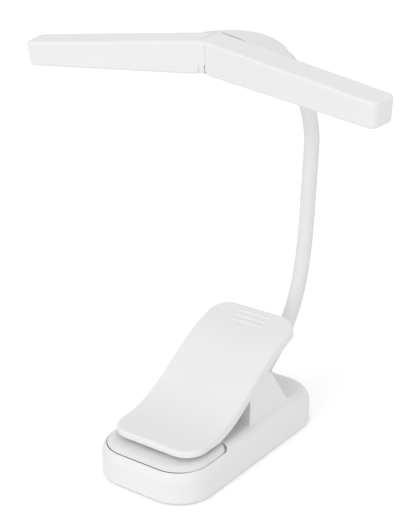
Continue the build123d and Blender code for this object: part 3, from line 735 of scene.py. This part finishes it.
class READINGLIGHT_OT_neck_collars(bpy.types.Operator):
    """Soft collars: the grommet where the neck leaves the base, and the ferrule under the hub"""

    bl_idname = "reading_light.neck_collars"
    bl_label = "Neck collars"

    def turned(self, name, start, heading, profile):
        """A closed ring turned round the neck's axis from a profile of distances and radii."""
        ahead = Vector((0, cos(heading), sin(heading)))
        out = Vector((1, 0, 0))
        collar = ring(name, len(profile))
        for vertex, (along, radius) in zip(collar.data.vertices, profile):
            vertex.co = start + ahead * mm(along) + out * mm(radius)
        edit(collar, "EDGE")
        select_mesh()
        bpy.ops.mesh.spin(steps=56, angle=2 * pi, center=start, axis=ahead)
        close_edit(collar)
        return smooth(collar, 30)

    def execute(self, context):
        rubber = silicone("collar_silicone", colours().neck, grain=mm(0.18), roughness=0.58)
        place, heading = neck_place(0)
        grommet = self.turned(
            "neck_grommet", place, heading,
            [
                (-4, 3.9), (-4, 5.4), (3.1, 5.4), (3.9, 5.36), (4.25, 5.22), (4.6, 5.0),
                (4.9, 4.7), (5.1, 4.3), (5.2, 3.95), (5.0, 3.9),
            ],
        )
        dress(grommet, rubber)
        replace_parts(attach(grommet, "base"), "neck_collar")
        place, heading = neck_place(neck_stops()[-1])
        ferrule = self.turned(
            "neck_ferrule", place, heading,
            [
                (2.3, 4.3), (2.1, 4.55), (2.02, 4.75), (2.1, 5.0), (2.4, 5.17), (2.8, 5.2),
                (11, 5.2), (11, 3.9), (3.0, 3.9), (2.6, 4.0),
            ],
        )
        dress(ferrule, rubber)
        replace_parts(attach(ferrule, "hub"), "hub_collar")
        return {"FINISHED"}


class READINGLIGHT_OT_spine_trim(bpy.types.Operator):
    """The spine between the wings, with lips that follow the wings' rounded edges"""

    bl_idname = "reading_light.spine_trim"
    bl_label = "Spine trim"

    # In millimetres in the head's frame: the centre and radius of the wings' rounded front
    # inner edges, the trim's front, rear, foot and top, and the rounding of its two ends.
    EDGE_CENTRE = (2.5, 0.86)
    EDGE_ROUND = 1.2
    FRONT = -0.33
    REAR = 14.2
    FOOT = -6.9
    TOP = 7.25
    END_ROUND = 1.1
    # Heights below the lips and along them, and the gap to the wings at each.
    PLAIN_HEIGHTS = (-5.6, -3.3)
    LIP_HEIGHTS = (-2.4, -1.5)
    PLAIN_GAP = 0.11
    LIP_GAP = 0.06
    LIP_STEPS = 7
    # The tongue that runs back into the hub: its top, its margin and its length.
    TONGUE_TOP = -1.5
    TONGUE_MARGIN = 0.12
    TONGUE = 3.4

    def layers(self):
        """The heights up the trim, each with its front, its gap and how full its lips are.

        The lips stop where the wings' heels swing past as they fold.
        """
        plain, lips = (self.PLAIN_GAP, 0), (self.LIP_GAP, 1)
        turns = [radians(turn) for turn in (5, 25, 50, 75)]
        size = self.END_ROUND
        curve = [
            (size * (1 - cos(turn)), self.FRONT + size * (1 - sin(turn)))
            for turn in turns
        ]
        return (
            [(self.FOOT + rise, front, *plain) for rise, front in curve]
            + [(height, self.FRONT, *plain) for height in self.PLAIN_HEIGHTS]
            + [(height, self.FRONT, *lips) for height in self.LIP_HEIGHTS]
            + [(self.TOP - rise, front, *lips) for rise, front in reversed(curve)]
        )

    def outline(self, front, gap, lip):
        """The trim's outline at one height, round from its rear right corner."""
        flank = self.EDGE_CENTRE[0] - self.EDGE_ROUND - gap
        half = [(flank, self.REAR)]
        for i in range(self.LIP_STEPS):
            ahead = (self.EDGE_CENTRE[1] - front) * i / (self.LIP_STEPS - 1)
            reach = sqrt((self.EDGE_ROUND + gap) ** 2 - ahead ** 2)
            lean = self.EDGE_CENTRE[0] - reach - flank
            half.append((flank + lip * lean, self.EDGE_CENTRE[1] - ahead))
        return half + [(-x, y) for x, y in reversed(half)]

    def execute(self, context):
        layers = self.layers()
        count = 2 * (self.LIP_STEPS + 1)
        trim = ring("spine_trim", count)
        edit(trim, "EDGE")
        select_mesh()
        for _ in layers[1:]:
            extrude(0, 0, 1)
        cap_ends()
        bpy.ops.object.mode_set(mode="OBJECT")
        for vertex in trim.data.vertices:
            height, *section = layers[round(vertex.co.z)]
            turn = round(atan2(vertex.co.y, vertex.co.x) / (2 * pi) * count) % count
            vertex.co = mm(*self.outline(*section)[turn], height)
        edit(trim, "FACE")
        close_edit(trim)
        edit(trim, "FACE")
        pick(trim, "face", lambda c, n: n.y > FACING and c.z < mm(self.TONGUE_TOP))
        inset(self.TONGUE_MARGIN)
        extrude(0, mm(self.TONGUE), 0)
        close_edit(trim)
        trim.rotation_euler = (radians(HEAD_PITCH), 0, 0)
        trim.location = mm(0, *HEAD)
        put_in_mesh(trim)
        smooth(trim, 35)
        dress(trim, moulded_plastic("spine_white", colours().housing, sizes().grain, SATIN))
        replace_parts(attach(trim, "hub"), "centre_spine")
        return {"FINISHED"}


class READINGLIGHT_OT_spring(bpy.types.Operator):
    """The clip's torsion spring, wound from a ring with a leg at each end"""

    bl_idname = "reading_light.spring"
    bl_label = "Clip spring"

    # The whole turns, the part of a turn before them, and the steps of a turn.
    TURNS = 5
    LEAD = 0.125
    TURN_STEPS = 32
    # How far from the pivot's axis the leg in the base ends, in millimetres.
    LEG_REACH = 9.85

    def execute(self, context):
        upper_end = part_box("clip_spring")[1].z
        radius, wire, pitch = sizes().coil_radius, sizes().wire / 2, sizes().coil_pitch
        pivot = mm(0, *PIVOT)
        turns = self.TURNS + self.LEAD
        start = -2 * pi * self.LEAD
        first = -pitch * (self.TURNS / 2 + self.LEAD)
        last = first + pitch * turns
        tail = pivot + Vector((first, radius * cos(start), radius * sin(start)))
        head = pivot + Vector((last, radius, 0))
        spring = ring("torsion_spring", 16, wire, tail, (start + pi / 2, 0, 0))
        context.scene.cursor.location = pivot
        bpy.ops.object.origin_set(type="ORIGIN_CURSOR")
        steps = round(self.TURN_STEPS * turns)
        finish_with(
            spring, "SCREW", axis="X", angle=2 * pi * turns, screw_offset=pitch * turns,
            steps=steps, render_steps=steps, use_smooth_shade=True,
        )
        context.scene.cursor.location = (0, 0, 0)
        put_in_mesh(spring)
        leg = sqrt(mm(self.LEG_REACH) ** 2 - radius ** 2)
        near = wire + SAME
        edit(spring, "VERT")
        pick(spring, "vertex", lambda v: (v - tail).length < near)
        extrude(0, sin(start) * leg, -cos(start) * leg)
        deselect_mesh()
        pick(spring, "vertex", lambda v: (v - head).length < near)
        extrude(0, 0, upper_end - pivot.z)
        cap_ends()
        close_edit(spring)
        smooth(spring, 40)
        dress(spring, brushed_steel("spring_steel", colours().steel, turn=(0, 0, 0)))
        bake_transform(spring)
        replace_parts(spring, "clip_spring")
        return {"FINISHED"}


class READINGLIGHT_OT_jaw_pads(bpy.types.Operator):
    """The silicone pads of the jaws, with rounded lips and shallow grip ribs"""

    bl_idname = "reading_light.jaw_pads"
    bl_label = "Jaw pads"

    # All in millimetres. The lower pad: where the form that trims it starts, and how much too
    # high it is drawn before that.
    CROWN_FLOOR = 5
    SPARE = 3
    # The dark ring of painted shade in the groove: how loosely it sits in it, its first height,
    # and its final depth.
    SLACK = 0.02
    RING_HEIGHT = 0.6
    RING_DEPTH = 0.3
    # The upper pad: its lip's height, its corners and the step in to its seat.
    LIP = 1.85
    CORNER = 5.8
    STEP = 0.8
    # Its hollow face: the rim, and the wall's run and depth.
    RIM = 1.4
    WALL = 0.3
    HOLLOW = 0.5
    # Its ribs: their radius, height, rounding, and their margins beside and before them.
    RIB_RADIUS = 0.5
    RIB_HEIGHT = 0.55
    RIB_ROUND = 0.2
    RIB_SIDE = 3.2
    RIB_END = 2.5

    def base_outline(self, name, drawn_in, segments, height):
        """A flat face with the base's rounded outline, drawn in and opened in edit mode."""
        low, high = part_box("base_shell")
        start_fresh()
        bpy.ops.mesh.primitive_plane_add(size=1, location=(0, 0, height))
        face = name_new(name)
        face.scale = (high.x - low.x - 2 * drawn_in, high.y - low.y - 2 * drawn_in, 1)
        put_in_mesh(face)
        edit(face, "VERT")
        select_mesh()
        bevel("VERTICES", mm(BASE_CORNER) - drawn_in, segments)
        select_mesh()
        return face

    def pad_outline(self, name, spread, height):
        """A flat face with the lower pad's outline, spread outwards all round."""
        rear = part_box("lower_jaw_pad")[1].y + spread
        face = self.base_outline(name, mm(PAD_INSET) - spread, 20, height)
        bpy.ops.mesh.bisect(
            plane_co=(0, rear, 0), plane_no=(0, 1, 0), clear_outer=True, use_fill=False
        )
        deselect_mesh()
        pick(face, "vertex", lambda v: abs(v.y - rear) < SAME)
        bevel("VERTICES", mm(PAD_CORNER) + spread, 12)
        select_mesh()
        return face

    def lower_pad(self):
        """The lower pad: its outline extruded, and trimmed to the base's rounded top."""
        low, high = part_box("lower_jaw_pad")
        pad = self.pad_outline("lower_jaw_silicone", 0, low.z)
        extrude(0, 0, high.z - low.z + mm(self.SPARE))
        close_edit(pad)
        crown = self.base_crown(high.z)
        finish_with(pad, "BOOLEAN", operation="INTERSECT", solver="EXACT", object=crown)
        bpy.data.objects.remove(crown)
        return round_edges(pad, sizes().pad_round, 3, 40)

    def base_crown(self, top):
        """The base's rounded top form, which the lower pad is flush with."""
        crown = self.base_outline("base_crown", 0, 24, mm(self.CROWN_FLOOR))
        extrude(0, 0, top - mm(self.CROWN_FLOOR))
        close_edit(crown)
        edit(crown, "EDGE")
        pick(crown, "edge", lambda a, b: min(a.z, b.z) > top - SAME)
        bevel("EDGES", mm(BASE_RIM), 14)
        return close_edit(crown)

    def crown_height(self, point):
        """The height of the base's rounded top surface over a point."""
        low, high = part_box("base_shell")
        corner, rim = mm(BASE_CORNER), mm(BASE_RIM)
        x = max(abs(point.x) - (high.x - corner), 0)
        y = max(low.y + corner - point.y, 0)
        if x > 0 and y > 0:
            inside = corner - hypot(x, y)
        else:
            inside = min(high.x - abs(point.x), point.y - low.y)
        drop = rim - sqrt(rim ** 2 - max(rim - inside, 0) ** 2)
        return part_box("lower_jaw_pad")[1].z - drop

    def seam_ring(self):
        """A dark ring of painted shade in the seam round the lower pad, just under the base's
        surface.
        """
        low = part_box("lower_jaw_pad")[0]
        width = PAD_GROOVE - self.SLACK
        painted_shade_ring = self.pad_outline("pad_seam_painted_shade", mm(width), low.z + mm(self.SLACK))
        inset(width - self.SLACK)
        bpy.ops.mesh.delete(type="FACE")
        select_mesh()
        extrude(0, 0, mm(self.RING_HEIGHT))
        close_edit(painted_shade_ring)
        for vertex in painted_shade_ring.data.vertices:
            if vertex.co.z > low.z + mm(self.RING_HEIGHT) / 2:
                vertex.co.z = self.crown_height(vertex.co) - mm(self.RING_DEPTH)
        return painted_shade_ring

    def upper_pad(self):
        """The upper pad: a block with round corners, a soft lip and a hollowed, ribbed face."""
        low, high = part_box("upper_jaw_pad")
        lip = low.z + mm(self.LIP)
        pad = block("upper_jaw_silicone", low, Vector((high.x, high.y, lip)))
        edit(pad, "EDGE")
        pick(pad, "edge", lambda a, b: abs(a.z - b.z) > SAME)
        bevel("EDGES", mm(self.CORNER), 16)
        deselect_mesh()
        pick(pad, "face", lambda c, n: n.z > FACING)
        inset(self.STEP)
        extrude(0, 0, high.z - lip)
        deselect_mesh()
        pick(pad, "face", lambda c, n: n.z < -FACING)
        inset(self.RIM)
        inset(self.WALL, -self.HOLLOW)
        close_edit(pad)
        round_edges(pad, sizes().pad_round, 3, 50)
        pitch = sizes().rib_pitch
        count = int((high.y - low.y - mm(2 * self.RIB_END)) / pitch)
        ribs = [self.rib(low, high)]
        for _ in range(count - 1):
            copy = ribs[0].copy()
            copy.data = ribs[0].data.copy()
            put_in_scene(copy)
            ribs.append(copy)
        for i, rib in enumerate(ribs):
            rib.location.y = (low.y + high.y) / 2 + pitch * (i - (count - 1) / 2)
            put_in_mesh(rib)
        take(pad)
        for rib in ribs:
            rib.select_set(True)
        bpy.ops.object.join()
        return pad

    def rib(self, low, high):
        """One half-round rib that runs across the upper pad's hollow face."""
        side = mm(self.RIB_SIDE)
        place = (low.x + side, 0, low.z + mm(self.RIB_HEIGHT))
        bar = ring("rib", 16, mm(self.RIB_RADIUS), place, (0, pi / 2, 0), "NGON")
        edit(bar, "FACE")
        select_mesh()
        extrude(high.x - low.x - 2 * side, 0, 0)
        select_mesh()
        bpy.ops.mesh.normals_make_consistent(inside=False)
        pick(bar, "edge", lambda a, b: abs(a.x - b.x) < SAME)
        bevel("EDGES", mm(self.RIB_ROUND), 3)
        return close_edit(bar)

    def execute(self, context):
        rubber = silicone("pad_silicone", colours().pads, grain=mm(0.3))
        lower = smooth(self.lower_pad(), 30)
        dress(lower, rubber)
        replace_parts(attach(lower, "base"), "lower_jaw_pad")
        # The dark ring in the pad's seam is painted shade.
        painted_shade_ring = smooth(self.seam_ring(), 40)
        dress(painted_shade_ring, seam_painted_shade("pad_seam_painted_shade", colours().painted_seam_shade))
        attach(painted_shade_ring, "base")
        upper = smooth(self.upper_pad(), 40)
        dress(upper, rubber)
        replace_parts(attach(upper, "lever"), "upper_jaw_pad")
        return {"FINISHED"}


class READINGLIGHT_OT_foot_pad(bpy.types.Operator):
    """The non-slip pad under the base, with a raised rim and grip ribs"""

    bl_idname = "reading_light.foot_pad"
    bl_label = "Foot pad"

    # Its corners, the rounding of its edges, and the steps from its rim to its middle, each
    # with its run and its depth, in millimetres.
    CORNER = 12.4
    ROUND = 0.12
    STEPS = ((1.6, 0), (0.25, -0.3), (5.0, 0), (0.25, 0.3), (1.2, 0), (0.25, -0.3))

    def execute(self, context):
        pad = block("foot_silicone", *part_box("base_pad"))
        edit(pad, "EDGE")
        pick(pad, "edge", lambda a, b: abs(a.z - b.z) > SAME)
        bevel("EDGES", mm(self.CORNER), 18)
        deselect_mesh()
        pick(pad, "face", lambda c, n: n.z < -FACING)
        for run, depth in self.STEPS:
            inset(run, depth)
        close_edit(pad)
        round_edges(pad, mm(self.ROUND), 2, 35)
        smooth(pad, 35)
        dress(pad, silicone("foot_silicone", colours().pads, grain=mm(0.5)))
        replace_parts(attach(pad, "base"), "base_pad")
        return {"FINISHED"}


class READINGLIGHT_OT_button_marks(bpy.types.Operator):
    """Raised touch marks: a ring on the power button and a bar on the colour button"""

    bl_idname = "reading_light.button_marks"
    bl_label = "Button marks"

    # How far the ring's middle is sunk into its button, in millimetres, and how its sunk half
    # is drawn in.
    SUNK = 0.02
    TAPER = 0.8
    # The bar's corners from the middle of its button's face, and its rounding, in millimetres.
    BAR = ((-0.14, -1.6, -0.3), (0.2, 1.6, 0.3))
    BAR_ROUND = 0.14

    def face_middle(self, node):
        """The middle of a button's outer face, on the base's left side."""
        low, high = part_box(node)
        return Vector((low.x, (low.y + high.y) / 2, (low.z + high.z) / 2))

    def execute(self, context):
        plastic = moulded_plastic("button_mark", colours().housing, grain=mm(0.2), roughness=0.4)
        place = self.face_middle("power_button") + mm(self.SUNK, 0, 0)
        start_fresh()
        bpy.ops.mesh.primitive_torus_add(
            major_radius=mm(1.1), minor_radius=mm(0.16), major_segments=40, minor_segments=12,
            location=place, rotation=(0, pi / 2, 0),
        )
        mark = put_in_mesh(name_new("power_mark"))
        edit(mark, "VERT")
        pick(mark, "vertex", lambda v: v.x > place.x)
        bpy.ops.transform.resize(
            value=(1, self.TAPER, self.TAPER), center_override=place, orient_type="GLOBAL"
        )
        close_edit(mark)
        smooth(mark, 60)
        dress(mark, plastic)
        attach(mark, "power_key")
        place = self.face_middle("colour_button")
        bar = block("colour_mark", *(place + mm(*corner) for corner in self.BAR))
        finish_with(bar, "BEVEL", width=mm(self.BAR_ROUND), segments=4, limit_method="NONE")
        smooth(bar, 50)
        dress(bar, plastic)
        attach(bar, "colour_key")
        return {"FINISHED"}


class READINGLIGHT_OT_studio(bpy.types.Operator):
    """A plain pale floor, soft light and the camera at the photograph's angle"""

    bl_idname = "reading_light.studio"
    bl_label = "Studio"

    # Each lamp's strength, where its light comes from, and its width in degrees.
    LAMPS = (
        ("front_light", 0.24, (-0.1, -0.95, 0.3), 50),
        ("side_light", 0.155, (0.85, -0.45, 0.12), 60),
        ("top_light", 0.055, (0.0, -0.3, 1.0), 40),
    )
    # The floor's width and how far it lies under the foot, in metres, and its own glow.
    FLOOR_SIZE = 40
    FLOOR_DROP = 0.00005
    FLOOR_GLOW = 0.27

    def camera(self, context):
        data = bpy.data.cameras.new("camera")
        data.lens = studio().lens
        data.sensor_width = 36
        data.clip_start, data.clip_end = 0.01, 100
        camera = bpy.data.objects.new("camera", data)
        put_in_scene(camera)
        a, e = studio().azimuth, studio().elevation
        right = Vector((cos(a), sin(a), 0))
        back = Vector((sin(a) * cos(e), -cos(a) * cos(e), sin(e)))
        turn = Matrix((right, back.cross(right), back)).transposed().to_4x4()
        camera.matrix_world = Matrix.Translation(Vector(studio().camera)) @ turn
        context.scene.camera = camera

    def level(self, tree, unseen, seen):
        """One strength where the camera, a gloss or a clear part looks, and another elsewhere."""
        rays = tree.nodes.new("ShaderNodeLightPath").outputs
        value = rays["Is Camera Ray"]
        for kind in ("Is Glossy Ray", "Is Transmission Ray"):
            larger = tree.nodes.new("ShaderNodeMath")
            larger.operation = "MAXIMUM"
            tree.links.new(value, larger.inputs[0])
            tree.links.new(rays[kind], larger.inputs[1])
            value = larger.outputs[0]
        node = tree.nodes.new("ShaderNodeMapRange")
        node.inputs["To Min"].default_value = unseen
        node.inputs["To Max"].default_value = seen
        tree.links.new(value, node.inputs["Value"])
        return node.outputs[0]

    def world(self, context):
        world = bpy.data.worlds.new("studio")
        context.scene.world = world
        world.use_nodes = True
        tree = world.node_tree
        background = tree.nodes["Background"]
        background.inputs["Color"].default_value = (1, 1, 1, 1)
        level = self.level(tree, unseen=studio().fill, seen=1.0)
        tree.links.new(level, background.inputs["Strength"])

    def lamp(self, name, strength, heading, width):
        data = bpy.data.lights.new(name, "SUN")
        data.energy = strength * studio().key * pi
        data.angle = radians(width)
        lamp = bpy.data.objects.new(name, data)
        lamp.rotation_euler = Vector(heading).to_track_quat("Z", "Y").to_euler()
        put_in_scene(lamp)

    def floor(self):
        start_fresh()
        place = (0, 0, -self.FLOOR_DROP)
        bpy.ops.mesh.primitive_plane_add(size=self.FLOOR_SIZE, location=place)
        floor = name_new("floor")
        material = bpy.data.materials.new("pale_floor")
        material.use_nodes = True
        tree = material.node_tree
        tree.nodes.clear()
        output = tree.nodes.new("ShaderNodeOutputMaterial")
        paint = tree.nodes.new("ShaderNodeBsdfDiffuse")
        paint.inputs["Color"].default_value = (*studio().floor, 1)
        glow = tree.nodes.new("ShaderNodeEmission")
        both = tree.nodes.new("ShaderNodeAddShader")
        level = self.level(tree, unseen=0.0, seen=self.FLOOR_GLOW)
        tree.links.new(level, glow.inputs["Strength"])
        tree.links.new(paint.outputs[0], both.inputs[0])
        tree.links.new(glow.outputs[0], both.inputs[1])
        tree.links.new(both.outputs[0], output.inputs[0])
        dress(floor, material)

    def execute(self, context):
        context.scene.view_settings.view_transform = "Standard"
        self.camera(context)
        self.world(context)
        self.floor()
        for lamp in self.LAMPS:
            self.lamp(*lamp)
        return {"FINISHED"}


class READINGLIGHT_PT_panel(bpy.types.Panel):
    """The light's pieces and settings, in the sidebar"""

    bl_idname = "READINGLIGHT_PT_panel"
    bl_label = "Reading Light"
    bl_space_type = "VIEW_3D"
    bl_region_type = "UI"
    bl_category = "Reading Light"

    def draw(self, context):
        layout = self.layout
        for group, _ in SETTINGS:
            box = layout.box()
            settings = getattr(context.scene, group)
            for name in settings.__annotations__:
                box.prop(settings, name)
        for operator in OPERATORS:
            layout.operator(operator.bl_idname)


SETTINGS = (
    ("reading_light_colours", ReadingLightColours),
    ("reading_light_sizes", ReadingLightSizes),
    ("reading_light_studio", ReadingLightStudio),
)

OPERATORS = (
    READINGLIGHT_OT_studio,
    READINGLIGHT_OT_housings,
    READINGLIGHT_OT_diffusers,
    READINGLIGHT_OT_metal_parts,
    READINGLIGHT_OT_electronics,
    READINGLIGHT_OT_neck,
    READINGLIGHT_OT_neck_collars,
    READINGLIGHT_OT_spine_trim,
    READINGLIGHT_OT_spring,
    READINGLIGHT_OT_jaw_pads,
    READINGLIGHT_OT_foot_pad,
    READINGLIGHT_OT_button_marks,
)


def register():
    for name, group in SETTINGS:
        bpy.utils.register_class(group)
        setattr(bpy.types.Scene, name, bpy.props.PointerProperty(type=group))
    for operator in OPERATORS:
        bpy.utils.register_class(operator)
    bpy.utils.register_class(READINGLIGHT_PT_panel)


def unregister():
    bpy.utils.unregister_class(READINGLIGHT_PT_panel)
    for operator in reversed(OPERATORS):
        bpy.utils.unregister_class(operator)
    for name, group in reversed(SETTINGS):
        delattr(bpy.types.Scene, name)
        bpy.utils.unregister_class(group)


def plain(box):
    """A box's two corners as lists of numbers."""
    return [[float(c) for c in corner] for corner in box]


def main():
    register()
    bpy.ops.reading_light.studio()
    bpy.ops.reading_light.housings()
    bpy.ops.reading_light.diffusers()
    bpy.ops.reading_light.metal_parts()
    bpy.ops.reading_light.electronics()
    bpy.ops.reading_light.neck()
    bpy.ops.reading_light.neck_collars()
    bpy.ops.reading_light.spine_trim()
    bpy.ops.reading_light.spring()
    bpy.ops.reading_light.jaw_pads()
    bpy.ops.reading_light.foot_pad()
    bpy.ops.reading_light.button_marks()


if __name__ == "__main__":
    main()
